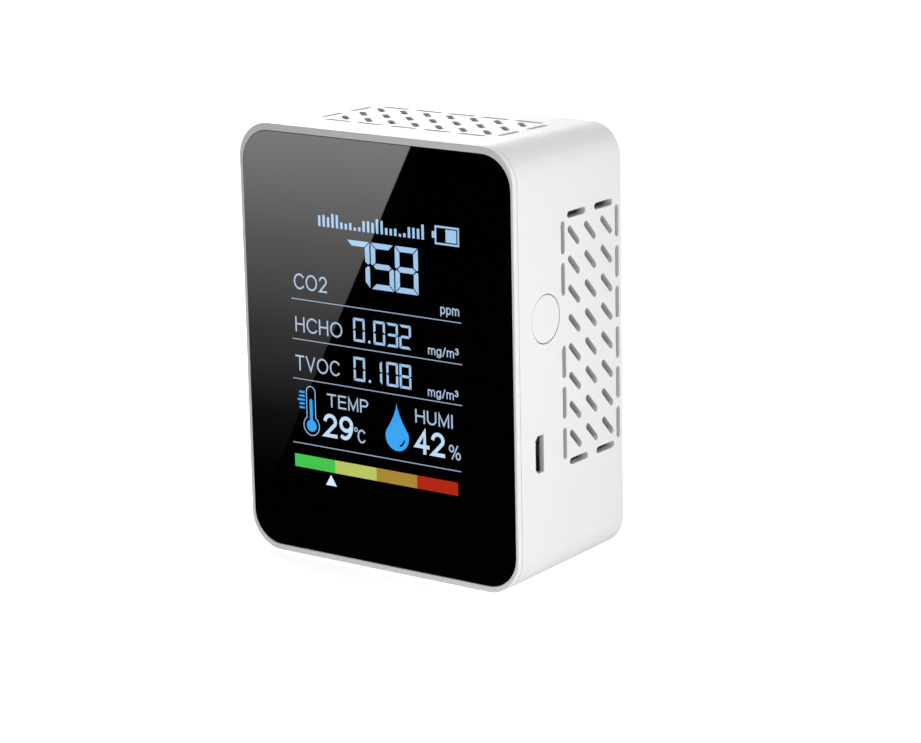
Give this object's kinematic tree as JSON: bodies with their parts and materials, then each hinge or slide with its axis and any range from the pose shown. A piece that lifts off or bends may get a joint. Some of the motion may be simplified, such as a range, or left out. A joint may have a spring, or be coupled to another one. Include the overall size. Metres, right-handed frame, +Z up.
{
  "type": "air quality monitor",
  "caption": "Desktop air quality monitor: white two-part case with slotted vents on the top and sides, full-front black display window, round side power button and charging inlet.",
  "frame": {"origin": "bottom centre of the object's box, under the front frame's lower edge line and half way through the depth", "axes": "+Z up the height, -Y out of the display, +X towards the side with the power button"},
  "size_m": [0.0724, 0.0408, 0.0955],
  "materials": {
    "white_plastic": "fine satin moulded",
    "black_glass": "polished acrylic, printed black behind",
    "black_adhesive": "matt adhesive foam",
    "display_glass": "polished",
    "clear_acrylic": "polished",
    "tray_plastic": "moulded",
    "ribbon_film": "amber film",
    "board_green": "solder mask",
    "black_epoxy": "moulded epoxy",
    "plated_steel": "bright tin plate",
    "gold_plate": "gold flash",
    "connector_plastic": "natural nylon",
    "black_plastic": "moulded",
    "battery_foil": "laminated foil",
    "foam": "open foam",
    "red_insulation": "extruded",
    "black_insulation": "extruded",
    "filter_membrane": "porous membrane",
    "sensor_white": "moulded"
  },
  "bodies": {
    "case": {"front_frame": "white_plastic", "rear_shell": "white_plastic", "front_window": "black_glass", "window_adhesive": "black_adhesive", "lcd_glass": "display_glass", "lcd_light_guide": "clear_acrylic", "lcd_backlight_tray": "tray_plastic", "lcd_ribbon": "ribbon_film", "ribbon_connector": "connector_plastic", "main_board": "board_green", "processor": "black_epoxy", "charger_chip": "black_epoxy", "voltage_regulator": "black_epoxy", "crystal": "plated_steel", "power_coil": "black_epoxy", "capacitor_1": "plated_steel", "capacitor_2": "plated_steel", "usb_shell": "plated_steel", "usb_tongue": "black_plastic", "switch_body": "black_plastic", "co2_header": "black_plastic", "co2_board": "board_green", "co2_chamber": "gold_plate", "co2_membrane": "filter_membrane", "hcho_base": "black_plastic", "hcho_cap": "sensor_white", "tvoc_sensor": "plated_steel", "temperature_humidity_sensor": "sensor_white", "buzzer": "black_plastic", "battery_cell": "battery_foil", "battery_pad": "foam", "battery_socket": "connector_plastic", "battery_plug": "connector_plastic", "battery_wire_red": "red_insulation", "battery_wire_black": "black_insulation", "case_screw_1": "plated_steel", "case_screw_2": "plated_steel", "case_screw_3": "plated_steel", "case_screw_4": "plated_steel", "board_screw_1": "plated_steel", "board_screw_2": "plated_steel"},
    "button": {"power_button": "white_plastic"},
    "plunger": {"switch_plunger": "black_plastic"}
  },
  "joints": [
    {"name": "power_button_press", "type": "slide", "parent": "case", "child": "button", "axis": [-1, 0, 0], "range_m": [0, 0.0005], "stiffness_N_per_m": 3000},
    {"name": "switch_plunger_press", "type": "slide", "parent": "case", "child": "plunger", "axis": [-1, 0, 0], "range_m": [0, 0.0005]}
  ],
  "couplings": [
    {"joint": "switch_plunger_press", "follows": "power_button_press", "ratio": 1}
  ]
}
